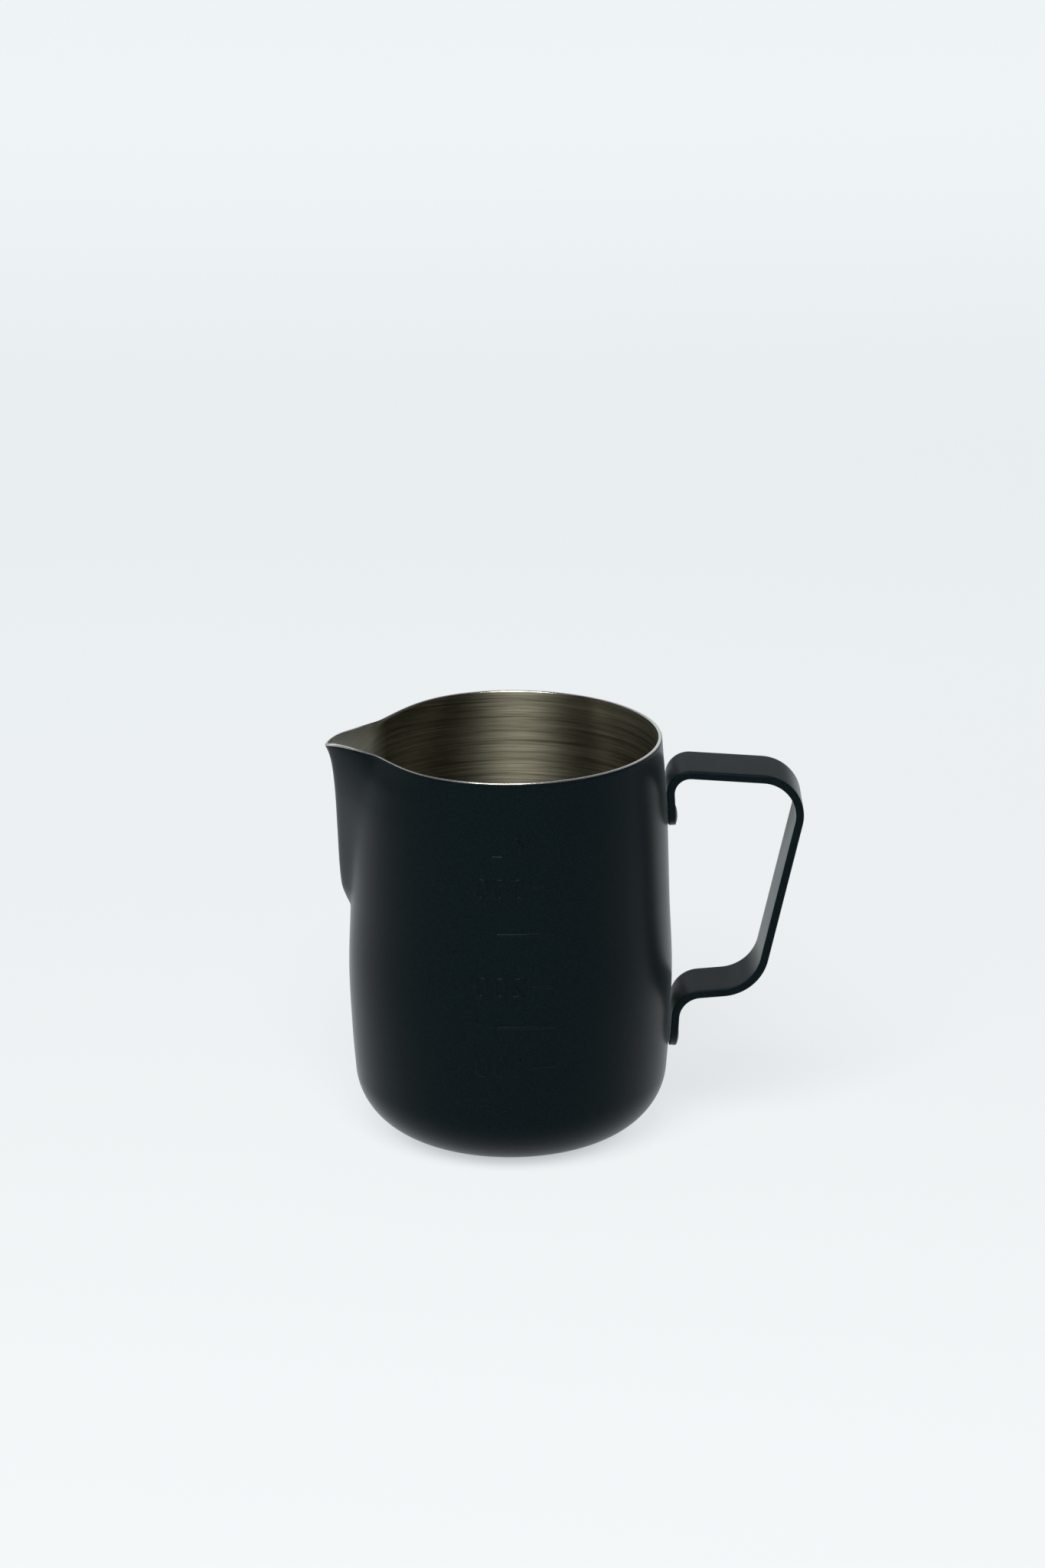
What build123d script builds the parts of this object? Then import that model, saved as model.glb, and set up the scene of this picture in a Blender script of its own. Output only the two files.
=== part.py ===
from build123d import *

import math
import os

# Milk frothing pitcher. Millimetres, +Z up.
# The origin is the centre of the flat base, on the axis of the round body.
# The spout points along -X, the handle along +X, and the scale faces -Y.

# ---- driving dimensions ----
RIM_HEIGHT = 98.0
WALL = 0.8  # drawn stainless sheet
COAT = 0.1  # black film on the outside of the body

CORNER_HEIGHT = 15.0  # where the rounded bottom corner meets the wall
CORNER_DEPTH = 18.2  # how far the corner reaches in from the wall
COAT_LOW_EDGE = 0.45  # the film stops here, so that bare steel meets the table

# outer radius of the wall at some heights
WALL_STATIONS = [
    (9.0, 36.7),
    (15.0, 37.35),
    (26.0, 38.12),
    (41.0, 38.65),
    (58.0, 38.0),
    (76.0, 37.45),
    (88.0, 36.85),
    (98.0, 36.1),
    (104.0, 35.6),
]

# The spout, as level sections: height, reach of the nose beyond the round wall,
# half angle of the V, and how far the wall beside the V is drawn in.
SPOUT_START = 54.0
SPOUT_SECTIONS = [
    (54.0, 0.0, 63.5, 0.0),
    (56.0, 0.05, 63.5, 0.0),
    (58.0, 1.0, 63.5, 0.0),
    (61.0, 2.15, 63.5, 0.0),
    (66.0, 2.8, 63.5, 0.0),
    (75.0, 3.45, 64.0, 0.1),
    (84.0, 4.25, 62.5, 0.35),
    (91.0, 5.35, 56.5, 1.0),
    (95.0, 6.7, 50.0, 1.9),
    (98.5, 9.05, 40.5, 2.75),
]
NOSE_ROUNDING = 2.0  # degrees about the body axis
CREASE_SOFTNESS = 0.5
DRAW_IN_ANGLE = 31.0  # degrees from the nose, where the wall is drawn in most
DRAW_IN_SPREAD = 25.0

# rim line, seen from the side: it dips a little along the spout
RIM_DIP_START = -12.0
RIM_DIP_POINTS = [(-28.0, 97.75), (-38.0, 97.55), (-42.3, 96.9), (-46.5, 94.6)]

# handle: a bent flat strap
STRAP_THICKNESS = 1.9
STRAP_WIDTH = 16.0
STRAP_OUTER_EDGE = 0.5  # edge rounding away from the fingers
STRAP_INNER_EDGE = 0.25
UPPER_TAB_END = 75.85
LOWER_TAB_END = 19.85
GRIP_TOP = (70.9, 88.45)
GRIP_BOTTOM = (58.8, 36.15)
TOP_BAR_RISE = 2.3  # the bar climbs this much from the grip to the body
LOWER_BAR_DROP = 1.5
TAB_REACH = 8.0  # the straight run of a tab above its weld
TAB_GAP = 0.06  # a flat tab lies this far off the curved wall, and the weld fills it
BEND_RADII = [4.7, 9.2, 10.7, 6.3]  # centre line, from the upper tab to the lower one

# plug welds that hold the tabs
WELD_FROM_TAB_END = 2.35
WELD_PLUG_RADIUS = 1.7
WELD_CROWN_RADIUS = 2.3
WELD_CROWN_HEIGHT = 0.5
WELD_OVERLAP = 0.2  # the plug runs this far into the crown
WELD_ROOT_DEPTH = 2.0  # how far behind the tab the plug starts, before the body trims it

# scale pressed through the wall: it stands out outside and is sunk inside,
# and it reads the right way round from inside
MARK_HEIGHT = 0.25
STROKE = 0.7
DIGIT_WIDTH = 2.3
DIGIT_HEIGHT = 4.3
DIGIT_PITCH = 4.3
FIRST_DIGIT_X = 3.0  # right edge, seen from outside
DASH_X = (5.2, 9.9)
LONG_DASH_X = (-3.1, 9.9)
NUMBER_MARKS = [("300", 72.6), ("200", 48.5), ("100", 28.7)]
LINE_MARKS = [61.5, 38.7]
UNIT_MARK_HEIGHT = 82.5
M_RIGHT_X = 5.6
M_WIDTH = 4.2
M_PITCH = 6.9
L_WIDTH = 2.9


def wall_radius(height):
    """Outer radius of the round wall: a smooth curve through the stations."""
    for i in range(1, len(WALL_STATIONS) - 2):
        low, high = WALL_STATIONS[i], WALL_STATIONS[i + 1]
        if height <= high[0]:
            break
    before, after = WALL_STATIONS[i - 1], WALL_STATIONS[i + 2]
    span = high[0] - low[0]
    slope_low = (high[1] - before[1]) / (high[0] - before[0]) * span
    slope_high = (after[1] - low[1]) / (after[0] - low[0]) * span
    t = (height - low[0]) / span
    return (
        (2 * t**3 - 3 * t**2 + 1) * low[1]
        + (t**3 - 2 * t**2 + t) * slope_low
        + (3 * t**2 - 2 * t**3) * high[1]
        + (t**3 - t**2) * slope_high
    )


def round_body(offset, top):
    """The turned form from the base to a height, grown by an offset."""
    corner_centre = wall_radius(CORNER_HEIGHT) - CORNER_DEPTH
    steps = 6
    heights = [CORNER_HEIGHT + (top - CORNER_HEIGHT) * i / steps for i in range(steps + 1)]
    wall_points = [(wall_radius(h) + offset, h) for h in heights]
    slope = wall_radius(top + 0.5) - wall_radius(top - 0.5)
    with BuildPart() as body:
        with BuildSketch(Plane.XZ):
            with BuildLine():
                Line((0, -offset), (corner_centre, -offset))
                EllipticalCenterArc(
                    (corner_centre, CORNER_HEIGHT),
                    CORNER_DEPTH + offset,
                    CORNER_HEIGHT + offset,
                    start_angle=-90,
                    arc_size=90,
                )
                Spline(wall_points, tangents=[(0, 1), (slope, 1)])
                Polyline(wall_points[-1], (0, top), (0, -offset))
            make_face()
        revolve(axis=Axis.Z)
    return body.part


def section_radius(angle, height, reach, half_angle, draw_in):
    """Radius of a level section at an angle from the nose, in degrees."""
    bump = math.exp(-(((angle - DRAW_IN_ANGLE) / DRAW_IN_SPREAD) ** 2))
    wall = wall_radius(height) - draw_in * bump
    turned = math.hypot(angle, NOSE_ROUNDING) - NOSE_ROUNDING
    nose = wall_radius(height) + reach
    far_angle = min(half_angle + turned, 90.0)
    flank = nose * math.sin(math.radians(half_angle)) / math.sin(math.radians(far_angle))
    excess = flank - wall
    softness = CREASE_SOFTNESS * min(1.0, reach / 2.0)
    return wall + (excess + math.hypot(excess, softness)) / 2


def section_point(angle, offset, section):
    """A point on the near half of a section, moved out square to it by an offset."""
    step = 0.05
    radius = section_radius(angle, *section)
    rise = section_radius(angle + step, *section) - section_radius(abs(angle - step), *section)
    slope = rise / (2 * math.radians(step))
    length = math.hypot(radius, slope)
    turn = math.radians(angle)
    out = radius + offset * radius / length
    side = -offset * slope / length
    x = out * math.cos(turn) - side * math.sin(turn)
    y = out * math.sin(turn) + side * math.cos(turn)
    return (-x, -y, section[0])


def half_section(offset, section):
    """The near half of a level section: a curve to the nose, the middle line, a quarter circle."""
    height, reach = section[:2]
    back = wall_radius(height) + offset
    diagonal = back * math.sqrt(0.5)
    side_point, back_point = (0, -back, height), (back, 0, height)
    if reach == 0:
        nose = (-back, 0, height)
        curve = ThreePointArc(side_point, (-diagonal, -diagonal, height), nose)
    else:
        angles = [78, 66, 56, 47, 40, 34, 29, 25.5, 22.5, 19.5, 16.5, 13.5, 10.5, 7.5, 5, 2.5, 0]
        points = [section_point(angle, offset, section) for angle in angles]
        nose = points[-1]
        curve = Spline(side_point, *points, tangents=[(-1, 0, 0), (0, 1, 0)])
    middle = Line(nose, back_point)
    quarter = ThreePointArc(back_point, (diagonal, -diagonal, height), side_point)
    return Wire([curve, middle, quarter])


def full_form(offset):
    """The whole outside or inside form of the body, spout included."""
    lower = round_body(offset, SPOUT_START)
    near_half = Solid.make_loft([half_section(offset, section) for section in SPOUT_SECTIONS])
    return lower + near_half + mirror(near_half, about=Plane.XZ)


def above_rim():
    """Everything above the rim line."""
    far, ceiling, depth = 80.0, 120.0, 160.0
    with BuildPart() as cutter:
        with BuildSketch(Plane.XZ.offset(-depth / 2)):
            with BuildLine():
                Line((far, RIM_HEIGHT), (RIM_DIP_START, RIM_HEIGHT))
                Spline((RIM_DIP_START, RIM_HEIGHT), *RIM_DIP_POINTS, tangents=[(-1, 0), (-0.75, -1)])
                Polyline(RIM_DIP_POINTS[-1], (-far, RIM_DIP_POINTS[-1][1] - 40), (-far, ceiling),
                         (far, ceiling), (far, RIM_HEIGHT))
            make_face()
        extrude(amount=depth)
    return cutter.part


def stroke(start, end, width):
    """A straight pen stroke with round ends."""
    middle = ((start[0] + end[0]) / 2, (start[1] + end[1]) / 2)
    length = math.hypot(end[0] - start[0], end[1] - start[1])
    angle = math.degrees(math.atan2(end[1] - start[1], end[0] - start[0]))
    return Pos(*middle) * SlotCenterToCenter(length, width, rotation=angle)


def arc_stroke(centre, radius, start_angle, sweep, width):
    """A curved pen stroke with round ends."""
    return SlotArc(CenterArc(centre, radius, start_angle, sweep), width)


def glyph(character, width):
    """A character drawn with a pen of some width, its lower left at the origin."""
    w, h = DIGIT_WIDTH, DIGIT_HEIGHT
    r = w / 2
    if character == "0":
        ring = SlotOverall(h + width, w + width, rotation=90)
        ring -= SlotOverall(h - width, w - width, rotation=90)
        return Pos(r, h / 2) * ring
    if character == "1":
        return stroke((w * 0.65, 0), (w * 0.65, h), width) + stroke((w * 0.65, h), (w * 0.25, h * 0.8), width)
    if character == "2":
        low = (r + r * math.cos(math.radians(-30)), h - r + r * math.sin(math.radians(-30)))
        top = arc_stroke((r, h - r), r, -30, 195, width)
        return top + stroke(low, (0, 0), width) + stroke((0, 0), (w, 0), width)
    if character == "3":
        upper, lower = h * 0.235, h * 0.265
        top = arc_stroke((r, h - upper), upper, -90, 240, width)
        return top + arc_stroke((r, lower), lower, -150, 240, width)
    if character == "M":
        corners = [(0, 0), (0, h), (M_WIDTH / 2, h * 0.4), (M_WIDTH, h), (M_WIDTH, 0)]
    else:
        corners = [(0, h), (0, 0), (L_WIDTH, 0)]
    letter = stroke(corners[0], corners[1], width)
    for start, end in zip(corners[1:], corners[2:]):
        letter += stroke(start, end, width)
    return letter


def scale_sketch(width):
    """All marks of the scale, as seen from outside: mirrored."""
    marks = Sketch()
    words = [(word, height, FIRST_DIGIT_X) for word, height in NUMBER_MARKS]
    for word, height, x in words + [("ML", UNIT_MARK_HEIGHT, M_RIGHT_X)]:
        for character in word:
            flipped = mirror(glyph(character, width), about=Plane.YZ)
            marks += Pos(x, height - DIGIT_HEIGHT / 2) * flipped
            x -= M_PITCH if character == "M" else DIGIT_PITCH
    for _, height in NUMBER_MARKS:
        marks += stroke((DASH_X[0], height), (DASH_X[1], height), width)
    for height in LINE_MARKS:
        marks += stroke((LONG_DASH_X[0], height), (LONG_DASH_X[1], height), width)
    return marks


def scale_relief(width, offset):
    """The marks as a solid that reaches from the axis out to the offset wall."""
    reach = 60.0
    prism = extrude(Plane.XZ * scale_sketch(width), amount=reach)
    turned = round_body(offset, RIM_HEIGHT - 8.0)
    return prism & turned


def make_body_forms():
    """Inside, outside and coated outside of the body, with the scale."""
    inside = full_form(-WALL) + scale_relief(STROKE - 0.1, MARK_HEIGHT - WALL)
    outside = full_form(0.0) + scale_relief(STROKE, MARK_HEIGHT)
    coated = full_form(COAT) + scale_relief(STROKE + 2 * COAT, MARK_HEIGHT + COAT)
    return inside, outside, coated


def tab_contact(height):
    """X of the near face of a tab at a height."""
    return wall_radius(height) + COAT + TAB_GAP


def tab_middle_x(tab_end, height):
    """X of the middle of a tab's thickness: the tab leans as the wall does above its weld."""
    weld_height = tab_end + WELD_FROM_TAB_END
    slope = (wall_radius(weld_height + TAB_REACH) - wall_radius(weld_height)) / TAB_REACH
    return tab_contact(weld_height) + STRAP_THICKNESS / 2 + slope * (height - weld_height)


def strap_section():
    """The cross-section of the strap. Its +X side becomes the finger side."""
    section = Rectangle(STRAP_THICKNESS, STRAP_WIDTH)
    section = fillet(section.vertices().group_by(Axis.X)[0], STRAP_OUTER_EDGE)
    return fillet(section.vertices().group_by(Axis.X)[-1], STRAP_INNER_EDGE)


def make_handle():
    """The strap, bent along a line of straights and arcs, with round tab ends."""
    upper_corner_z = GRIP_TOP[1] + TOP_BAR_RISE
    lower_corner_z = GRIP_BOTTOM[1] - LOWER_BAR_DROP
    route = [
        (tab_middle_x(UPPER_TAB_END, UPPER_TAB_END), 0, UPPER_TAB_END),
        (tab_middle_x(UPPER_TAB_END, upper_corner_z), 0, upper_corner_z),
        (GRIP_TOP[0], 0, GRIP_TOP[1]),
        (GRIP_BOTTOM[0], 0, GRIP_BOTTOM[1]),
        (tab_middle_x(LOWER_TAB_END, lower_corner_z), 0, lower_corner_z),
        (tab_middle_x(LOWER_TAB_END, LOWER_TAB_END), 0, LOWER_TAB_END),
    ]
    line = FilletPolyline(*route, radius=BEND_RADII)
    start = Plane(origin=line @ 0, x_dir=(1, 0, 0), z_dir=line % 0)
    strap = sweep(start * strap_section(), path=line)
    for end in (UPPER_TAB_END, LOWER_TAB_END):
        strap -= tab_end_cutter(end)
    return strap


def tab_end_cutter(end):
    """What a round tab end leaves of a square one."""
    radius = STRAP_WIDTH / 2
    margin = 2.0
    depth = 8.0
    x = wall_radius(end) + margin
    block = Box(depth, STRAP_WIDTH + margin, radius + margin, align=(Align.CENTER, Align.CENTER, Align.MAX))
    disc = Rot(0, 90, 0) * Cylinder(radius, depth + margin)
    return Pos(x, 0, end + radius) * (block - disc)


def make_weld(tab_end, body_outside):
    """A plug of weld metal through a tab, down to the steel, with a low crown."""
    height = tab_end + WELD_FROM_TAB_END
    face = tab_contact(height) + STRAP_THICKNESS
    root = face - STRAP_THICKNESS - WELD_ROOT_DEPTH
    upright = (Align.CENTER, Align.CENTER, Align.MIN)
    plug = Cylinder(WELD_PLUG_RADIUS, face - root + WELD_OVERLAP, align=upright)
    ball = (WELD_CROWN_RADIUS**2 + WELD_CROWN_HEIGHT**2) / (2 * WELD_CROWN_HEIGHT)
    crown = Pos(0, 0, face - root + WELD_CROWN_HEIGHT - ball) * Sphere(ball)
    crown &= Pos(0, 0, face - root) * Cylinder(ball, ball, align=upright)
    weld = Pos(root, 0, height) * Rot(0, 90, 0) * (plug + crown)
    return weld - body_outside


def make_part():
    """Every node of the pitcher by name."""
    inside, outside, coated = make_body_forms()
    trim = above_rim()
    body = outside - inside - trim
    coat = coated - outside - trim
    table_gap = Pos(0, 0, COAT_LOW_EDGE) * Box(100, 100, 10, align=(Align.CENTER, Align.CENTER, Align.MAX))
    coat -= table_gap
    handle = make_handle()
    welds = [make_weld(end, outside) for end in (UPPER_TAB_END, LOWER_TAB_END)]
    for weld in welds:
        handle -= weld
        coat -= weld
    return {
        "pitcher_body": body,
        "outer_coating": coat,
        "handle": handle,
        "handle_welds": Compound(children=welds),
    }


if __name__ == "__main__":
    os.makedirs("parts", exist_ok=True)
    for name, shape in make_part().items():
        export_step(shape, f"parts/{name}.step")
        size = shape.bounding_box().size
        print(name, "volume", round(shape.volume, 1), "size", [round(v, 2) for v in size])
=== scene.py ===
import math

import bmesh
import bpy
import numpy as np
from mathutils import Matrix, Vector


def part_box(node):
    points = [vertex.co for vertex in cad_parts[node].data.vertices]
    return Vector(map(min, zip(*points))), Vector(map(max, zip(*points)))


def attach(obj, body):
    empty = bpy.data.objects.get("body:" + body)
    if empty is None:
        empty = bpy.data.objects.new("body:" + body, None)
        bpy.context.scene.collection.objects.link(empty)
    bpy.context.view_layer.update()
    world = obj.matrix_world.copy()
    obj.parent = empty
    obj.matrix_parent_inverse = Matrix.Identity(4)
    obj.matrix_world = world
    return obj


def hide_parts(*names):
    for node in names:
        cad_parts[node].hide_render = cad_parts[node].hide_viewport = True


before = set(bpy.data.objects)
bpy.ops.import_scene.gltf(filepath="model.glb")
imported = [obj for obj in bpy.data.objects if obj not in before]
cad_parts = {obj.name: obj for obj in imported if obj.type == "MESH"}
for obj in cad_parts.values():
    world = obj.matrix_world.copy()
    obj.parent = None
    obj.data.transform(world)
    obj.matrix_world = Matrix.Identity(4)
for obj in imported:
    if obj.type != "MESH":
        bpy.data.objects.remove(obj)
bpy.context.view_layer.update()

# Milk frothing pitcher. Lengths below are millimetres in the object's own frame, and MM turns
# them into metres. The spout points along -X, the handle along +X, the scale faces -Y.
# Angles round the body are measured from the nose of the spout, so -90 degrees is the scale side.

BODY_LOW, BODY_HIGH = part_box("pitcher_body")
RIM_HEIGHT = 98.0
MM = (BODY_HIGH[2] - BODY_LOW[2]) / RIM_HEIGHT

# ---- body ----
WALL = 0.8
FILM = 0.1
FILM_LOW_EDGE = 0.45
CORNER_HEIGHT = 15.0
CORNER_DEPTH = 18.2
FOOT_HEIGHT = 0.5  # below this the surface may face straight down
RIM_ROUNDING = 0.15
BARE_RIM = 0.24  # the film stops this far below the top of the rim
FILM_EDGE_SHARE = 0.35  # the film is this much of its thickness at its two edges
FILM_SHOULDER = (0.12, 0.9)  # share of the last row below the upper edge, and of the thickness there
FILM_SINK = 0.03  # the film's hidden face lies this far inside the steel

WALL_STATIONS = [  # height and radius of the round wall
    (9.0, 36.7), (15.0, 37.35), (26.0, 38.12), (41.0, 38.65), (58.0, 38.0),
    (76.0, 37.45), (88.0, 36.85), (98.0, 36.1), (104.0, 35.6),
]

# ---- spout: height, reach of the nose, half angle of the V, draw-in of the wall beside it ----
SPOUT_SECTIONS = [
    (54.0, 0.0, 63.5, 0.0), (56.0, 0.05, 63.5, 0.0), (58.0, 1.0, 63.5, 0.0), (61.0, 2.15, 63.5, 0.0),
    (66.0, 2.8, 63.5, 0.0), (75.0, 3.45, 64.0, 0.1), (84.0, 4.25, 62.5, 0.35), (91.0, 5.35, 56.5, 1.0),
    (95.0, 6.7, 50.0, 1.9), (98.5, 9.05, 40.5, 2.75),
]
NOSE_ROUNDING = 2.0
CREASE_SOFTNESS = 0.5
DRAW_IN_ANGLE = 31.0
DRAW_IN_SPREAD = 25.0
RIM_LINE = [  # x and height in side view
    (-50.0, 91.8), (-46.5, 94.6), (-42.3, 96.9), (-38.0, 97.55), (-28.0, 97.75), (-12.0, 98.0),
    (40.0, 98.0),
]
RIM_REPEATS = 14  # the rim's height and the radius there depend on each other, so they are found in turns
SPOUT_LIGHT_AND_ROUGH_X = (-33.5, -29.5)  # the sheet goes over from the spout, rougher and painted paler as light on its inside, to the brushed wall between these

# ---- pressed scale ----
MARK_HEIGHT = 0.25
MARK_CORE = 0.14  # half width of the flat top of a stroke
MARK_FLANK = 0.36  # width of its soft flank
DIGIT_WIDTH = 2.3
DIGIT_HEIGHT = 4.3
DIGIT_PITCH = 4.3
FIRST_DIGIT_X = 3.0
DASH_X = (5.2, 9.9)
LONG_DASH_X = (-3.1, 9.9)
NUMBER_MARKS = [("300", 72.6), ("200", 48.5), ("100", 28.7)]
LINE_MARKS = [61.5, 38.7]
UNIT_MARK_HEIGHT = 82.5
M_RIGHT_X = 5.6
M_WIDTH = 4.2
M_PITCH = 6.9
L_WIDTH = 2.9
FAR_AWAY = 1e9  # farther than any stroke

# ---- handle ----
STRAP_THICKNESS = 1.9
STRAP_WIDTH = 16.0
STRAP_OUTER_EDGE = 0.5
STRAP_INNER_EDGE = 0.25
UPPER_TAB_END = 75.85
LOWER_TAB_END = 19.85
GRIP_TOP = (70.9, 88.45)
GRIP_BOTTOM = (58.8, 36.15)
TOP_BAR_RISE = 2.3
LOWER_BAR_DROP = 1.5
TAB_REACH = 8.0  # a tab leans as the wall does over this much
TAB_GAP = 0.06
BEND_RADII = [4.7, 9.2, 10.7, 6.3]
WELD_FROM_TAB_END = 2.35
WELD_RADIUS = 2.3
WELD_HEIGHT = 0.5
WELD_TOE = 0.12  # how far the foot of a crown spreads
WELD_ROOT = 0.3
CROWN_POWERS = (2.2, 0.75)  # how flat the top of a crown is, and how steep its side

# ---- mesh ----
COLUMN_BANDS = [  # from, to and step in degrees: closest at the scale and at the nose
    (-180, -107.5, 2.4), (-107.5, -76, 0.35), (-76, -50, 2.0), (-50, -30, 1.3), (-30, 30, 0.65),
    (30, 50, 1.3), (50, 180, 2.4),
]
RIM_ROWS_FROM = 88.0
RIM_ROW_COUNT = 12
CORNER_TURNS = 26
LEAST_ROW_GAP = 0.05
BASE_RINGS = 5
FLOOR_RINGS = 12  # on the base inside
WALL_STEP = 1.8
SPOUT_ROOT_STEP = 0.7
SPOUT_ROOT = (54.0, 62.0)
MARK_STEP = 0.2
MARK_MARGIN = 0.7  # closely spaced rows reach this far past a mark
ROW_GAP = 0.3  # and wall rows nearer to them than this are left out
ROUNDING_TURNS = np.radians([15, 30, 45, 60, 75, 90])
EDGE_TURNS = np.radians([18, 36, 54, 72, 90])
TAB_TURNS = np.radians(np.linspace(0, 90, 13))
STRAP_STEP = 1.6
BEND_STEP = 4.0  # degrees
DIRECTION_REACH = 0.4  # the strap's direction is taken over this much on each side
HALF_WIDTH_COLUMNS = 6
WELD_COLUMNS = 48
WELD_RINGS = 14


# ================= curves and shapes =================

def smooth_curve(stations, x):
    """A smooth curve through stations (x, y), for an array of x."""
    xs = np.array([s[0] for s in stations])
    ys = np.array([s[1] for s in stations])
    x = np.clip(x, xs[0], xs[-1])
    i = np.clip(np.searchsorted(xs, x, side="right") - 1, 0, len(xs) - 2)
    slopes = np.empty_like(ys)
    slopes[1:-1] = (ys[2:] - ys[:-2]) / (xs[2:] - xs[:-2])
    slopes[0] = (ys[1] - ys[0]) / (xs[1] - xs[0])
    slopes[-1] = (ys[-1] - ys[-2]) / (xs[-1] - xs[-2])
    span = xs[i + 1] - xs[i]
    t = (x - xs[i]) / span
    return (
        (2 * t**3 - 3 * t**2 + 1) * ys[i]
        + (t**3 - 2 * t**2 + t) * span * slopes[i]
        + (3 * t**2 - 2 * t**3) * ys[i + 1]
        + (t**3 - t**2) * span * slopes[i + 1]
    )


def wall_radius(height):
    """Outer radius of the wall before the corner is taken off; beside the corner it bends gently back."""
    low, corner, high = [smooth_curve(WALL_STATIONS, CORNER_HEIGHT + step) for step in (-0.5, 0.0, 0.5)]
    slope = high - low
    below = corner + slope * (height - CORNER_HEIGHT) * height / CORNER_HEIGHT
    return np.where(height < CORNER_HEIGHT, below, smooth_curve(WALL_STATIONS, height))


def outer_radius(angle, height):
    """Radius of the outside at an angle from the nose, in degrees, and a height."""
    columns = [[(s[0], s[i]) for s in SPOUT_SECTIONS] for i in (1, 2, 3)]
    reach, half_angle, draw_in = [smooth_curve(column, height) for column in columns]
    reach = np.maximum(reach, 0.0)
    angle = np.abs(angle)
    wall = wall_radius(height) - draw_in * np.exp(-(((angle - DRAW_IN_ANGLE) / DRAW_IN_SPREAD) ** 2))
    turned = np.hypot(angle, NOSE_ROUNDING) - NOSE_ROUNDING
    far_angle = np.minimum(half_angle + turned, 90.0)
    nose = wall_radius(height) + reach
    flank = nose * np.sin(np.radians(half_angle)) / np.sin(np.radians(far_angle))
    excess = flank - wall
    softness = CREASE_SOFTNESS * np.minimum(1.0, reach / 2.0)
    swell = (excess + np.hypot(excess, softness)) / 2
    depth = np.clip(1.0 - height / CORNER_HEIGHT, 0.0, 1.0)
    corner = CORNER_DEPTH * (1.0 - np.sqrt(1.0 - depth**2))
    return wall + swell - corner


def rim_height(angle):
    """Height of the rim line at an angle: it follows a line drawn in side view."""
    height = np.full_like(angle, RIM_HEIGHT)
    for _ in range(RIM_REPEATS):
        x = -outer_radius(angle, height) * np.cos(np.radians(angle))
        height = smooth_curve(RIM_LINE, x)
    return height


def segment_distance(x, z, start, end):
    """Distance of points to a straight stroke."""
    ax, az = start
    dx, dz = end[0] - ax, end[1] - az
    t = np.clip(((x - ax) * dx + (z - az) * dz) / (dx * dx + dz * dz), 0.0, 1.0)
    return np.hypot(x - ax - t * dx, z - az - t * dz)


def arc_distance(x, z, centre, radius, start_angle, sweep):
    """Distance of points to an arc, in degrees, counterclockwise from start_angle."""
    dx, dz = x - centre[0], z - centre[1]
    turn = np.mod(np.degrees(np.arctan2(dz, dx)) - start_angle, 360.0)
    inside = turn <= sweep
    to_ends = np.full_like(x, FAR_AWAY)
    for angle in (start_angle, start_angle + sweep):
        end_x = centre[0] + radius * math.cos(math.radians(angle))
        end_z = centre[1] + radius * math.sin(math.radians(angle))
        to_ends = np.minimum(to_ends, np.hypot(x - end_x, z - end_z))
    return np.where(inside, np.abs(np.hypot(dx, dz) - radius), to_ends)


def glyph_distance(character, x, z):
    """Distance of points to the centre line of a character whose lower left is the origin."""
    w, h = DIGIT_WIDTH, DIGIT_HEIGHT
    r = w / 2
    if character == "0":
        return np.abs(segment_distance(x, z, (r, r), (r, h - r)) - r)
    if character == "1":
        flag = segment_distance(x, z, (w * 0.65, h), (w * 0.25, h * 0.8))
        return np.minimum(segment_distance(x, z, (w * 0.65, 0), (w * 0.65, h)), flag)
    if character == "2":
        low = (r + r * math.cos(math.radians(-30)), h - r + r * math.sin(math.radians(-30)))
        lines = np.minimum(segment_distance(x, z, low, (0, 0)), segment_distance(x, z, (0, 0), (w, 0)))
        return np.minimum(lines, arc_distance(x, z, (r, h - r), r, -30, 195))
    if character == "3":
        upper, lower = h * 0.235, h * 0.265
        top = arc_distance(x, z, (r, h - upper), upper, -90, 240)
        return np.minimum(top, arc_distance(x, z, (r, lower), lower, -150, 240))
    if character == "M":
        corners = [(0, 0), (0, h), (M_WIDTH / 2, h * 0.4), (M_WIDTH, h), (M_WIDTH, 0)]
    else:
        corners = [(0, h), (0, 0), (L_WIDTH, 0)]
    strokes = [segment_distance(x, z, a, b) for a, b in zip(corners, corners[1:])]
    return np.minimum.reduce(strokes)


def scale_relief(x, z):
    """How far the pressed marks stand out at points of the scale side."""
    distance = np.full_like(x, FAR_AWAY)
    words = [(word, height, FIRST_DIGIT_X) for word, height in NUMBER_MARKS]
    for word, height, right in words + [("ML", UNIT_MARK_HEIGHT, M_RIGHT_X)]:
        for character in word:
            there = glyph_distance(character, right - x, z - height + DIGIT_HEIGHT / 2)
            distance = np.minimum(distance, there)
            right -= M_PITCH if character == "M" else DIGIT_PITCH
    lines = [(DASH_X, height) for _, height in NUMBER_MARKS]
    lines += [(LONG_DASH_X, height) for height in LINE_MARKS]
    for (left, right), height in lines:
        distance = np.minimum(distance, segment_distance(x, z, (left, height), (right, height)))
    t = np.clip((distance - MARK_CORE) / MARK_FLANK, 0.0, 1.0)
    return MARK_HEIGHT * (1.0 - t * t * (3.0 - 2.0 * t))


# ================= meshes =================

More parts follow.
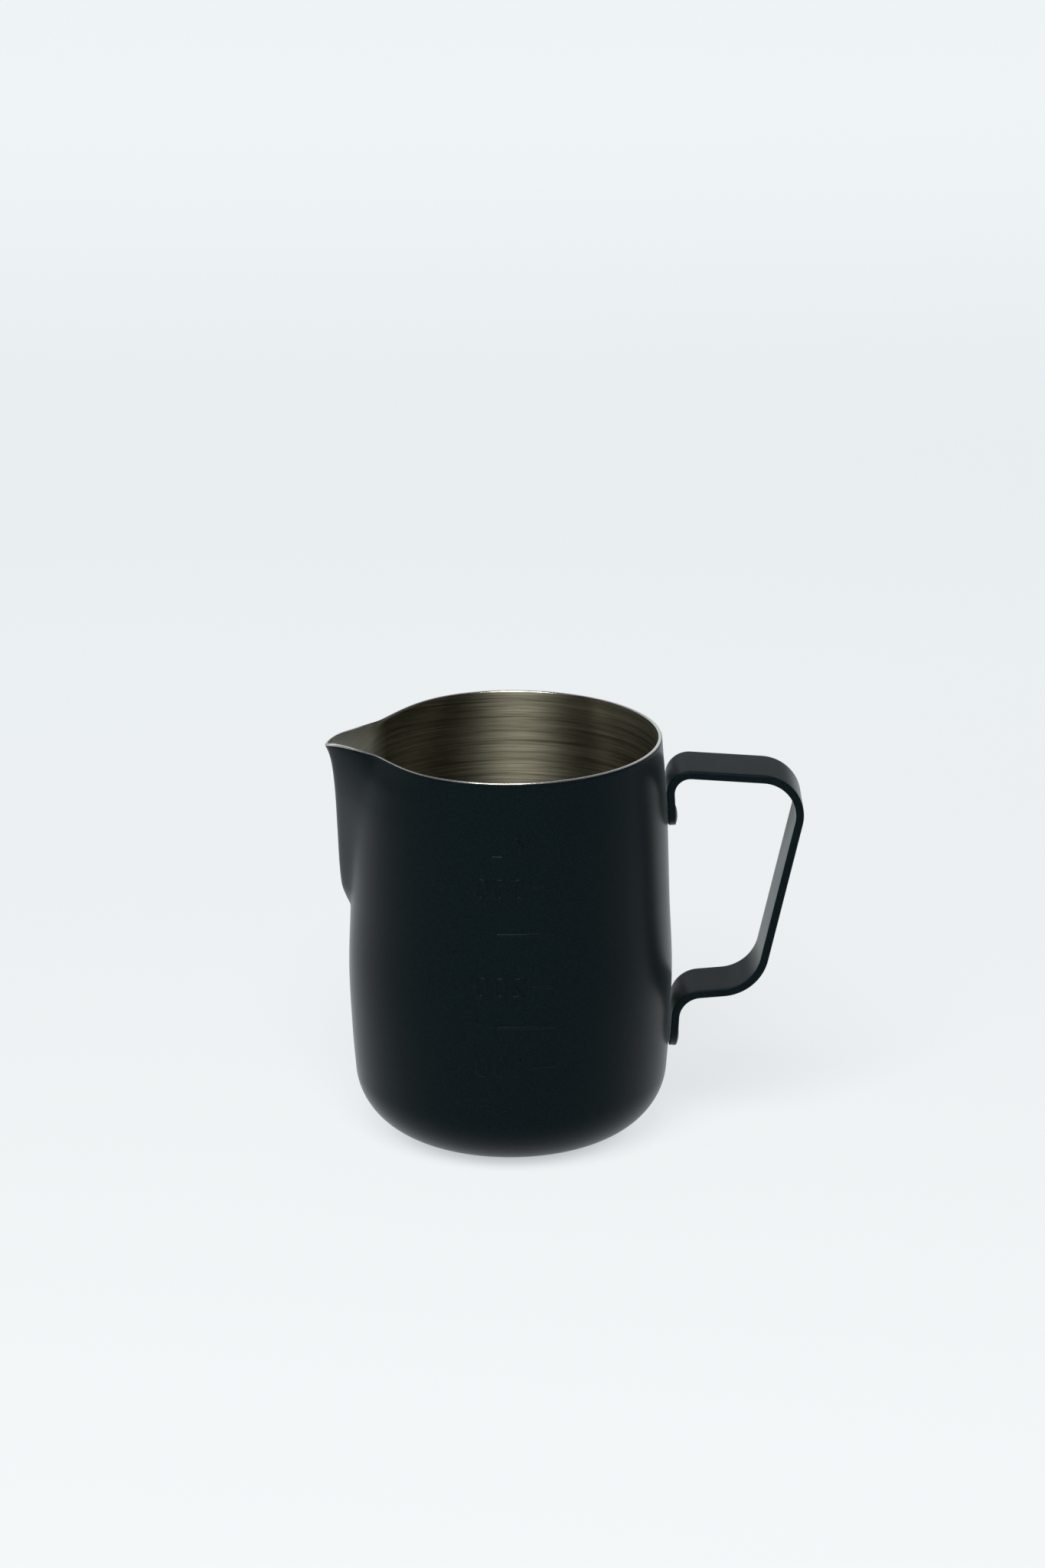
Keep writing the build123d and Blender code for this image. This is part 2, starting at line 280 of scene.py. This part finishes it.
def make_object(name, points, faces):
    """A smooth mesh object from points in millimetres."""
    mesh = bpy.data.meshes.new(name)
    work = bmesh.new()
    verts = [work.verts.new(Vector(p) * MM) for p in points]
    for face in faces:
        work.faces.new([verts[i] for i in face])
    bmesh.ops.remove_doubles(work, verts=work.verts, dist=1e-7)
    bmesh.ops.dissolve_degenerate(work, edges=work.edges, dist=1e-8)
    bmesh.ops.recalc_face_normals(work, faces=work.faces)
    for face in work.faces:
        face.smooth = True
    work.to_mesh(mesh)
    work.free()
    piece = bpy.data.objects.new(name, mesh)
    bpy.context.collection.objects.link(piece)
    return piece


def ring_shell(name, rings, wrap_rows, poles=()):
    """A surface through closed rings of equal length; poles close its first and last ring."""
    rows, columns = len(rings), len(rings[0])
    points = [tuple(p) for ring in rings for p in ring]
    faces = []
    for i in range(rows if wrap_rows else rows - 1):
        low, high = i * columns, ((i + 1) % rows) * columns
        for j in range(columns):
            k = (j + 1) % columns
            faces.append((low + j, low + k, high + k, high + j))
    for pole, row in zip(poles, (0, rows - 1)):
        points.append(pole)
        top = len(points) - 1
        faces += [(row * columns + j, row * columns + (j + 1) % columns, top) for j in range(columns)]
    return make_object(name, points, faces)


def spread(low, high, step):
    """Even values from low up to, but without, high, about a step apart."""
    count = max(1, round((high - low) / step))
    return list(low + (high - low) * np.arange(count) / count)


def row_heights(with_marks):
    """Heights of the mesh rows of the wall, from the corner up to where the rim rows start."""
    breaks = [
        (CORNER_HEIGHT, WALL_STEP), (SPOUT_ROOT[0], SPOUT_ROOT_STEP), (SPOUT_ROOT[1], WALL_STEP),
        (RIM_ROWS_FROM, 0.0),
    ]
    heights = [h for (low, step), (high, _) in zip(breaks, breaks[1:]) for h in spread(low, high, step)]
    if not with_marks:
        return np.array(heights)
    tall = DIGIT_HEIGHT / 2 + MARK_MARGIN
    bands = [(h - tall, h + tall) for h in [m[1] for m in NUMBER_MARKS] + [UNIT_MARK_HEIGHT]]
    bands += [(h - MARK_MARGIN, h + MARK_MARGIN) for h in LINE_MARKS]
    heights = [h for h in heights if not any(low - ROW_GAP < h < high + ROW_GAP for low, high in bands)]
    for low, high in bands:
        heights += spread(low, high, MARK_STEP) + [high]
    return np.array(sorted(heights))


ANGLES = np.array([angle for band in COLUMN_BANDS for angle in spread(*band)])
RIM = rim_height(ANGLES)
ROUND = np.stack([-np.cos(np.radians(ANGLES)), np.sin(np.radians(ANGLES)), np.zeros_like(ANGLES)], axis=1)


def wall_rings(with_marks, top_gap, low_edge):
    """Rings of the outside from the bottom up to a gap below the rim, with outward directions."""
    turns = np.linspace(0.0, math.pi / 2, CORNER_TURNS + 1)[:-1]
    corner = CORNER_HEIGHT * (1.0 - np.cos(turns))
    corner = np.concatenate([[low_edge], corner[corner > low_edge + LEAST_ROW_GAP]])
    grid = [np.full_like(ANGLES, h) for h in np.concatenate([corner, row_heights(with_marks)])]
    for share in np.linspace(0.0, 1.0, RIM_ROW_COUNT):
        grid.append(RIM_ROWS_FROM + (RIM - top_gap - RIM_ROWS_FROM) * share)
    heights = np.array(grid)
    angles = np.broadcast_to(ANGLES, heights.shape)
    radii = outer_radius(angles, heights)
    points = radii[..., None] * ROUND[None] + heights[..., None] * np.array([0, 0, 1.0])
    round_step = np.roll(points, -1, axis=1) - np.roll(points, 1, axis=1)
    up_step = np.gradient(points, axis=0)
    out = np.cross(round_step, up_step)
    out /= np.linalg.norm(out, axis=2, keepdims=True)
    outward = (out * ROUND[None]).sum(axis=2) - (heights < FOOT_HEIGHT) * out[..., 2]
    out *= np.sign(outward + 1e-9)[..., None]
    if with_marks:
        facing = points[..., 1] < 0
        relief = np.where(facing, scale_relief(points[..., 0], points[..., 2]), 0.0)
        points = points + relief[..., None] * out
    return points, out


def disc_rings(edge_ring, steps):
    """Rings from near the axis out to an edge ring, level with it."""
    axis = np.array([0, 0, edge_ring[0][2]])
    return [axis + (edge_ring - axis) * (i + 1) / (steps + 1) for i in range(steps)]


def rim_rounding(ring, away, turns):
    """Rings of a quarter round that rises from a ring and leans away from it."""
    up = np.array([0, 0, RIM_ROUNDING])
    return [ring + away * RIM_ROUNDING * (1 - math.cos(turn)) + up * math.sin(turn) for turn in turns]


def make_body_shell():
    """Bare steel: inside, rim and base show; its outside is under the film."""
    outside, _ = wall_rings(False, RIM_ROUNDING, 0.0)
    lifted, out = wall_rings(True, RIM_ROUNDING, 0.0)
    out[0] = (0, 0, -1)
    inside = lifted - WALL * out
    level = out[-1] * (1, 1, 0)
    level /= np.linalg.norm(level, axis=1, keepdims=True)
    rim = rim_rounding(outside[-1], -level, ROUNDING_TURNS)
    rim += rim_rounding(inside[-1], level, ROUNDING_TURNS[::-1])
    base_out = disc_rings(outside[0], BASE_RINGS)
    base_in = disc_rings(inside[0], FLOOR_RINGS)
    rings = base_out + list(outside) + rim + list(inside[::-1]) + base_in[::-1]
    poles = [(0, 0, outside[0][0][2]), (0, 0, inside[0][0][2])]
    return ring_shell("body_shell", rings, False, poles)


def make_body_film():
    """The black film over the outside, thinned out at its upper and lower edge."""
    points, out = wall_rings(True, BARE_RIM, FILM_LOW_EDGE)
    thickness = np.full(len(points), FILM)
    thickness[0] = thickness[-1] = FILM * FILM_EDGE_SHARE
    step_share, thickness_share = FILM_SHOULDER
    top_step = (points[-1] - points[-2]) * step_share
    outer = list(points + out * thickness[:, None, None])
    outer.insert(-1, points[-1] - top_step + out[-1] * FILM * thickness_share)
    hidden, hidden_out = wall_rings(False, BARE_RIM, FILM_LOW_EDGE)
    inner = list((hidden - FILM_SINK * hidden_out)[::-1])
    return ring_shell("body_film", outer + inner, True)


def tab_middle_x(tab_end, height):
    """X of the middle of a tab's thickness: the tab leans as the wall does above its weld."""
    weld_height = tab_end + WELD_FROM_TAB_END
    low, high = [float(wall_radius(np.array(h))) for h in (weld_height, weld_height + TAB_REACH)]
    return low + FILM + TAB_GAP + STRAP_THICKNESS / 2 + (high - low) / TAB_REACH * (height - weld_height)


def strap_route():
    """Corners of the strap's centre line in side view, from the upper tab to the lower one."""
    upper_z = GRIP_TOP[1] + TOP_BAR_RISE
    lower_z = GRIP_BOTTOM[1] - LOWER_BAR_DROP
    corners = [
        (tab_middle_x(UPPER_TAB_END, UPPER_TAB_END), UPPER_TAB_END),
        (tab_middle_x(UPPER_TAB_END, upper_z), upper_z), GRIP_TOP, GRIP_BOTTOM,
        (tab_middle_x(LOWER_TAB_END, lower_z), lower_z),
        (tab_middle_x(LOWER_TAB_END, LOWER_TAB_END), LOWER_TAB_END),
    ]
    return [Vector(corner) for corner in corners]


def add_run(points, end, step):
    """Go on from the last point in a straight line to an end, in steps of about one length."""
    first = points[-1]
    count = max(1, round((end - first).length / step))
    points += [first.lerp(end, (i + 1) / count) for i in range(count)]


def rounded_route(corners, radii, step, turn_step):
    """Points along straight runs joined by tangent arcs; turn_step is in degrees."""
    points = [corners[0]]
    for before, corner, after, radius in zip(corners, corners[1:], corners[2:], radii):
        arrive = (corner - before).normalized()
        leave = (after - corner).normalized()
        turn = arrive.angle(leave)
        start = corner - arrive * radius * math.tan(turn / 2)
        side = (leave - arrive * arrive.dot(leave)).normalized()
        centre = start + side * radius
        add_run(points, start, step)
        count = max(2, round(math.degrees(turn) / turn_step))
        for i in range(count):
            a = turn * (i + 1) / count
            points.append(centre + radius * (math.sin(a) * arrive - math.cos(a) * side))
    add_run(points, corners[-1], step)
    return points


def make_handle():
    """The bent strap: soft edges, round tab ends."""
    route = rounded_route(strap_route(), BEND_RADII, STRAP_STEP, BEND_STEP)
    lengths = np.concatenate([[0.0], np.cumsum([(b - a).length for a, b in zip(route, route[1:])])])
    total = lengths[-1]
    xs = np.array([p[0] for p in route])
    zs = np.array([p[1] for p in route])
    half, width = STRAP_THICKNESS / 2, STRAP_WIDTH / 2

    def place(s, across, lift):
        """A point at a length along the strap, a distance across it and above its middle."""
        x, z = np.interp(s, lengths, xs), np.interp(s, lengths, zs)
        ahead, behind = min(s + DIRECTION_REACH, total), max(s - DIRECTION_REACH, 0.0)
        dx = np.interp(ahead, lengths, xs) - np.interp(behind, lengths, xs)
        dz = np.interp(ahead, lengths, zs) - np.interp(behind, lengths, zs)
        size = math.hypot(dx, dz)
        return (x - lift * dz / size, across, z + lift * dx / size)

    def quarter(edge):
        """From the middle of a face round one edge: share of the width, inset and lift."""
        columns = HALF_WIDTH_COLUMNS
        face = [(k / columns, edge, half) for k in range(columns + 1)]
        return face + [(1.0, edge * (1 - math.sin(turn)), half - edge * (1 - math.cos(turn)))
                       for turn in EDGE_TURNS]

    right = quarter(STRAP_OUTER_EDGE)
    right += [(share, inset, -lift) for share, inset, lift in reversed(quarter(STRAP_INNER_EDGE))]
    section = right + [(-share, inset, lift) for share, inset, lift in reversed(right[1:-1])]

    def ring(middle, turn, ahead):
        """The section at a turn round a tab's end: ahead is -1 at the upper tab, 1 at the lower one."""
        points = []
        for share, inset, lift in section:
            radius = width - inset
            s = middle + ahead * radius * math.cos(turn)
            points.append(place(s, share * radius * math.sin(turn), lift))
        return points

    rings = [ring(width, turn, -1) for turn in TAB_TURNS]
    for s in lengths:
        if width < s < total - width:
            rings.append([place(s, share * (width - inset), lift) for share, inset, lift in section])
    rings += [ring(total - width, turn, 1) for turn in TAB_TURNS[::-1]]
    return ring_shell("handle_strap", rings, False)


def make_weld_crowns():
    """A low crown of weld metal on each tab, with a soft toe and a root in the strap."""
    points, faces = [], []
    columns = WELD_COLUMNS
    top, side = CROWN_POWERS
    profile = [(0.0, WELD_HEIGHT)]
    for share in np.linspace(0.08, 1.0, WELD_RINGS):
        profile.append((WELD_RADIUS * share, WELD_HEIGHT * (1 - share**top) ** side))
    profile += [(WELD_RADIUS + WELD_TOE, -0.02), (WELD_RADIUS + WELD_TOE, -WELD_ROOT)]
    route = strap_route()
    for end, bend in ((route[0], route[1]), (route[-1], route[-2])):
        up = (bend - end).normalized()
        normal = Vector((up[1], -up[0]))
        centre = end + up * WELD_FROM_TAB_END + normal * STRAP_THICKNESS / 2
        first = len(points)
        for radius, lift in profile:
            for j in range(columns):
                turn = 2 * math.pi * j / columns
                here = centre + up * radius * math.sin(turn) + normal * lift
                points.append((here[0], radius * math.cos(turn), here[1]))
        for i in range(len(profile) - 1):
            for j in range(columns):
                k = (j + 1) % columns
                a, b = first + i * columns, first + (i + 1) * columns
                faces.append((a + j, a + k, b + k, b + j))
        last = first + (len(profile) - 1) * columns
        faces.append(tuple(last + j for j in range(columns)))
    return make_object("weld_crowns", points, faces)


# ================= materials =================

# Each pair of colours is the darker and the lighter end of a noise.
FILM_COLOURS = ((0.0017, 0.0035, 0.0044), (0.0042, 0.0077, 0.0094))
FILM_REFLECTION = (0.2, 0.35, 0.4, 1)
FILM_SHEEN = (0.75, 0.93, 1.0, 1)
FILM_ROUGHNESS = 0.33
STRAP_ROUGHNESS = 0.36
WELD_ROUGHNESS = 0.26
FILM_UNEVENNESS = (-0.03, 0.05)  # of the roughness
STEEL_COLOURS = ((0.15, 0.143, 0.104), (0.44, 0.42, 0.32))
# painted light: the spout's inside is made paler, standing in for the light it catches
LIT_SPOUT_COLOURS = ((0.66, 0.65, 0.58), (0.95, 0.94, 0.88))
RIM_COLOURS = ((0.70, 0.70, 0.67), (0.86, 0.86, 0.84))
STEEL_ROUGHNESS = (0.36, 0.41)
SPOUT_ROUGHNESS_MORE = 0.14
RIM_ROUGHNESS = (0.16, 0.24)
BRUSH_STRETCH = 0.02  # the brushing is this much as dense along its lines as across them
BRUSH_BANDS = 0.35  # share of the coarse bands in the brushing


def new_material(name):
    """A material, its node tree and its shader."""
    material = bpy.data.materials.new(name)
    material.use_nodes = True
    return material, material.node_tree, material.node_tree.nodes["Principled BSDF"]


def add_node(tree, kind, **settings):
    """A node with its properties and its inputs set by name."""
    node = tree.nodes.new(kind)
    for key, value in settings.items():
        if key in node.inputs:
            node.inputs[key].default_value = value
        else:
            setattr(node, key, value)
    return node


def put(tree, value, socket):
    """Link a socket to a value, or set it where the value is a number."""
    if isinstance(value, (int, float)):
        socket.default_value = value
    else:
        tree.links.new(value, socket)


def coordinates(tree, kind):
    """A texture coordinate of a kind, and its X, Y and Z by name."""
    place = add_node(tree, "ShaderNodeTexCoord").outputs[kind]
    parts = add_node(tree, "ShaderNodeSeparateXYZ")
    tree.links.new(place, parts.inputs[0])
    return place, parts.outputs


def noise(tree, vector, scale, detail, roughness=0.5):
    node = add_node(tree, "ShaderNodeTexNoise", Scale=scale, Detail=detail, Roughness=roughness)
    tree.links.new(vector, node.inputs["Vector"])
    return node.outputs["Fac"]


def ramp(tree, value, low, high, colours):
    """The first colour up to low, the second from high on."""
    node = tree.nodes.new("ShaderNodeValToRGB")
    for stop, position, colour in zip(node.color_ramp.elements, (low, high), colours):
        stop.position = position
        stop.color = (*colour, 1)
    tree.links.new(value, node.inputs["Fac"])
    return node.outputs["Color"]


def remap(tree, value, low, high, at_low, at_high, **settings):
    """Carry a value from one range over to another."""
    node = add_node(tree, "ShaderNodeMapRange", **settings)
    for key, number in (("From Min", low), ("From Max", high), ("To Min", at_low), ("To Max", at_high)):
        node.inputs[key].default_value = number
    tree.links.new(value, node.inputs["Value"])
    return node.outputs["Result"]


def calculate(tree, operation, *values):
    """The result of one sum over sockets and numbers."""
    node = add_node(tree, "ShaderNodeMath", operation=operation)
    for value, socket in zip(values, node.inputs):
        put(tree, value, socket)
    return node.outputs[0]


def vector_length(tree, vector):
    node = add_node(tree, "ShaderNodeVectorMath", operation="LENGTH")
    tree.links.new(vector, node.inputs[0])
    return node.outputs["Value"]


def scaled_colour(tree, colour, factor):
    node = add_node(tree, "ShaderNodeVectorMath", operation="SCALE")
    tree.links.new(colour, node.inputs[0])
    tree.links.new(factor, node.inputs["Scale"])
    return node.outputs["Vector"]


def mixed_colour(tree, factor, first, second, blend_type="MIX"):
    node = add_node(tree, "ShaderNodeMix", data_type="RGBA", blend_type=blend_type)
    put(tree, factor, node.inputs["Factor"])
    tree.links.new(first, node.inputs[6])
    tree.links.new(second, node.inputs[7])
    return node.outputs[2]


def add_bump(tree, shader, height, strength, distance):
    bump = add_node(tree, "ShaderNodeBump", Strength=strength, Distance=distance)
    tree.links.new(height, bump.inputs["Height"])
    tree.links.new(bump.outputs["Normal"], shader.inputs["Normal"])


def set_shader(shader, settings):
    """Set the shader's own values by the names of its sockets."""
    for name, value in settings.items():
        shader.inputs[name].default_value = value


def black_film(name, roughness):
    """Satin black baked film: a fine grain, slight unevenness, weak reflections."""
    material, tree, shader = new_material(name)
    place, _ = coordinates(tree, "Object")
    cloud = noise(tree, place, scale=90.0, detail=3.0)
    grain = noise(tree, place, scale=3200.0, detail=2.0, roughness=0.6)
    tree.links.new(ramp(tree, grain, 0.35, 0.7, FILM_COLOURS), shader.inputs["Base Color"])
    least, most = [roughness + more for more in FILM_UNEVENNESS]
    tree.links.new(remap(tree, cloud, 0.0, 1.0, least, most), shader.inputs["Roughness"])
    add_bump(tree, shader, grain, strength=0.22, distance=0.00003)
    set_shader(shader, {
        "IOR": 1.21, "Specular Tint": FILM_REFLECTION,
        "Sheen Weight": 0.13, "Sheen Roughness": 0.25, "Sheen Tint": FILM_SHEEN,
    })
    return material


def brushed_steel(name):
    """Drawn stainless sheet, brushed round the body; rougher on the spout, and paler there as painted
    light on the spout's inside.
    """
    material, tree, shader = new_material(name)
    place, parts = coordinates(tree, "Object")
    level = add_node(tree, "ShaderNodeCombineXYZ")
    stretched = add_node(tree, "ShaderNodeCombineXYZ")
    for axis in ("X", "Y"):
        tree.links.new(parts[axis], level.inputs[axis])
        tree.links.new(calculate(tree, "MULTIPLY", parts[axis], BRUSH_STRETCH), stretched.inputs[axis])
    across = calculate(tree, "ADD", vector_length(tree, level.outputs[0]), parts["Z"])
    tree.links.new(across, stretched.inputs["Z"])
    lines = noise(tree, stretched.outputs[0], scale=2600.0, detail=4.0, roughness=0.6)
    bands = noise(tree, stretched.outputs[0], scale=850.0, detail=2.0)
    streaks = add_node(tree, "ShaderNodeMix", data_type="FLOAT", Factor=BRUSH_BANDS)
    tree.links.new(lines, streaks.inputs["A"])
    tree.links.new(bands, streaks.inputs["B"])
    streaks = streaks.outputs["Result"]
    cloud = noise(tree, place, scale=60.0, detail=3.0)
    # painted light: the spout gets the paler colours
    in_spout = remap(tree, parts["X"], SPOUT_LIGHT_AND_ROUGH_X[0] * MM, SPOUT_LIGHT_AND_ROUGH_X[1] * MM, 1.0, 0.0)
    wall_colour = ramp(tree, streaks, 0.38, 0.64, STEEL_COLOURS)
    lit_spout_colour = ramp(tree, streaks, 0.3, 0.7, LIT_SPOUT_COLOURS)
    tree.links.new(mixed_colour(tree, in_spout, wall_colour, lit_spout_colour), shader.inputs["Base Color"])
    roughness = calculate(tree, "MULTIPLY_ADD", in_spout, SPOUT_ROUGHNESS_MORE,
                          remap(tree, cloud, 0.0, 1.0, *STEEL_ROUGHNESS))
    tree.links.new(roughness, shader.inputs["Roughness"])
    brushing = add_node(tree, "ShaderNodeTangent", direction_type="RADIAL", axis="Z")
    tree.links.new(brushing.outputs[0], shader.inputs["Tangent"])
    add_bump(tree, shader, streaks, strength=0.3, distance=0.00002)
    set_shader(shader, {"Metallic": 1.0, "Anisotropic": 0.85, "Anisotropic Rotation": 0.25})
    return material


def polished_rim(name):
    """The cut edge of the sheet, polished: fine marks only."""
    material, tree, shader = new_material(name)
    place, _ = coordinates(tree, "Object")
    marks = noise(tree, place, scale=1500.0, detail=3.0)
    tree.links.new(ramp(tree, marks, 0.3, 0.7, RIM_COLOURS), shader.inputs["Base Color"])
    tree.links.new(remap(tree, marks, 0.0, 1.0, *RIM_ROUGHNESS), shader.inputs["Roughness"])
    shader.inputs["Metallic"].default_value = 1.0
    return material


def polish_rim(piece, material):
    """Give the faces over the rim's edge a second material."""
    piece.data.materials.append(material)
    centres = np.empty(len(piece.data.polygons) * 3)
    piece.data.polygons.foreach_get("center", centres)
    x, y, z = centres.reshape(-1, 3).T / MM
    line = rim_height(np.degrees(np.arctan2(y, -x)))
    on_rim = (z > line - RIM_ROUNDING).astype(np.int32)
    piece.data.polygons.foreach_set("material_index", on_rim)


# ================= the object =================

def finish_piece(piece, material, node):
    """Give a piece its material and its place in the frame, as the stand-in for a CAD node."""
    piece.data.materials.append(material)
    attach(piece, "root")
    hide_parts(node)


shell = make_body_shell()
finish_piece(shell, brushed_steel("steel"), "pitcher_body")
polish_rim(shell, polished_rim("rim_steel"))
finish_piece(make_body_film(), black_film("film", FILM_ROUGHNESS), "outer_coating")
finish_piece(make_handle(), black_film("strap_film", STRAP_ROUGHNESS), "handle")
finish_piece(make_weld_crowns(), black_film("weld_film", WELD_ROUGHNESS), "handle_welds")


# ================= stage, light, camera =================

FLOOR_RADIUS = 3.2
FLOOR_COLOUR = (0.12, 0.122, 0.124, 1)
FLOOR_DEPTH = (-0.4, 1.6)  # from the camera's side to the far side, in metres
FLOOR_GLOW = [  # share of that depth, colour
    (0.12, (0.73, 0.755, 0.77)), (0.26, (0.72, 0.745, 0.76)), (0.46, (0.73, 0.775, 0.79)),
    (0.85, (0.82, 0.86, 0.875)),
]
SHADE_RADII = (12.0, 32.0)  # painted shade under the base: the floor's glow fades between these
SHADE_LEAST = 0.1
BAND_FOOT = (0.12, 0.26)  # the white band round the studio starts between these rises of a direction
BAND_TOP = (0.33, 0.50)  # and ends between these
BAND_WHITE = (0.92, 0.96, 0.98)
BAND_DARK = (0.03, 0.03, 0.026)
FOOT_SHARES = ((0.08, 0.08, 0.08), (1.0, 1.0, 1.0))
SIDE_SHARES = [  # axis of a direction, from, to, share of the light at each
    ("X", -0.9, 0.9, 0.95, 0.6), ("Y", -0.35, 0.25, 0.12, 1.0),
]
STUDIO_STRENGTH = 1.15
CAMERA_PLACE = (0.0, -1.2074, 0.4892)
CAMERA_TURNS = (0.147, 18.469, -0.319)  # yaw, pitch and roll in degrees
CAMERA_LENS = 123.05


def make_floor():
    """A pale disc that glows softly, so that the shadow on it stays faint; its glow is dimmed under the
    base as painted shade.
    """
    bpy.ops.mesh.primitive_circle_add(vertices=96, radius=FLOOR_RADIUS, fill_type="NGON")
    floor = bpy.context.object
    floor.name = "floor"
    material, tree, shader = new_material("pale_floor")
    place, parts = coordinates(tree, "Object")
    glow = tree.nodes.new("ShaderNodeValToRGB")
    glow.color_ramp.interpolation = "EASE"
    stops = glow.color_ramp.elements
    while len(stops) < len(FLOOR_GLOW):
        stops.new(0.5)
    for stop, (position, colour) in zip(stops, FLOOR_GLOW):
        stop.position = position
        stop.color = (*colour, 1)
    tree.links.new(remap(tree, parts["Y"], *FLOOR_DEPTH, 0.0, 1.0), glow.inputs["Fac"])
    # painted shade: the floor's glow is dimmed under the base
    shade = remap(tree, vector_length(tree, place), SHADE_RADII[0] * MM, SHADE_RADII[1] * MM,
                  SHADE_LEAST, 1.0, interpolation_type="SMOOTHSTEP")
    tree.links.new(scaled_colour(tree, glow.outputs["Color"], shade), shader.inputs["Emission Color"])
    set_shader(shader, {
        "Emission Strength": 1.0, "Base Color": FLOOR_COLOUR, "Roughness": 0.9, "Specular IOR Level": 0.1,
    })
    floor.data.materials.append(material)


def add_area(name, azimuth, elevation, distance, size, power, colour):
    """A soft round light at a direction from the object; azimuth 0 is the camera's side, left is less."""
    light = bpy.data.lights.new(name, "AREA")
    light.shape = "DISK"
    light.size = size
    light.energy = power
    light.color = colour
    lamp = bpy.data.objects.new(name, light)
    turn, rise = math.radians(azimuth), math.radians(elevation)
    flat = math.cos(rise) * distance
    place = Vector((math.sin(turn) * flat, -math.cos(turn) * flat, math.sin(rise) * distance))
    lamp.location = place
    lamp.rotation_euler = (-place).to_track_quat("-Z", "Y").to_euler()
    bpy.context.collection.objects.link(lamp)


def make_light():
    """A low white band round the studio, dim on the camera's side, and one soft light over the camera."""
    world = bpy.data.worlds.new("studio")
    world.use_nodes = True
    tree = world.node_tree
    _, parts = coordinates(tree, "Generated")
    top = ramp(tree, parts["Z"], *BAND_TOP, (BAND_WHITE, BAND_DARK))
    foot = ramp(tree, parts["Z"], *BAND_FOOT, FOOT_SHARES)
    sky = mixed_colour(tree, 1.0, top, foot, "MULTIPLY")
    for axis, low, high, at_low, at_high in SIDE_SHARES:
        sky = scaled_colour(tree, sky, remap(tree, parts[axis], low, high, at_low, at_high))
    background = tree.nodes["Background"]
    tree.links.new(sky, background.inputs["Color"])
    background.inputs["Strength"].default_value = STUDIO_STRENGTH
    bpy.context.scene.world = world
    add_area("key", azimuth=-10.0, elevation=54.0, distance=1.5, size=1.0, power=34.0,
             colour=(1.0, 0.985, 0.95))


def make_camera():
    """The camera in front of the scale, above the object and looking down on it."""
    data = bpy.data.cameras.new("camera")
    data.lens = CAMERA_LENS
    data.sensor_width = 36.0
    data.clip_end = 20.0
    camera = bpy.data.objects.new("camera", data)
    yaw, pitch, roll = (math.radians(turn) for turn in CAMERA_TURNS)
    camera.matrix_world = (
        Matrix.Translation(CAMERA_PLACE)
        @ Matrix.Rotation(-yaw, 4, "Z")
        @ Matrix.Rotation(math.pi / 2 - pitch, 4, "X")
        @ Matrix.Rotation(roll, 4, "Z")
    )
    bpy.context.collection.objects.link(camera)
    bpy.context.scene.camera = camera


make_floor()
make_light()
make_camera()
bpy.context.scene.view_settings.view_transform = "Standard"

bpy.context.view_layer.update()
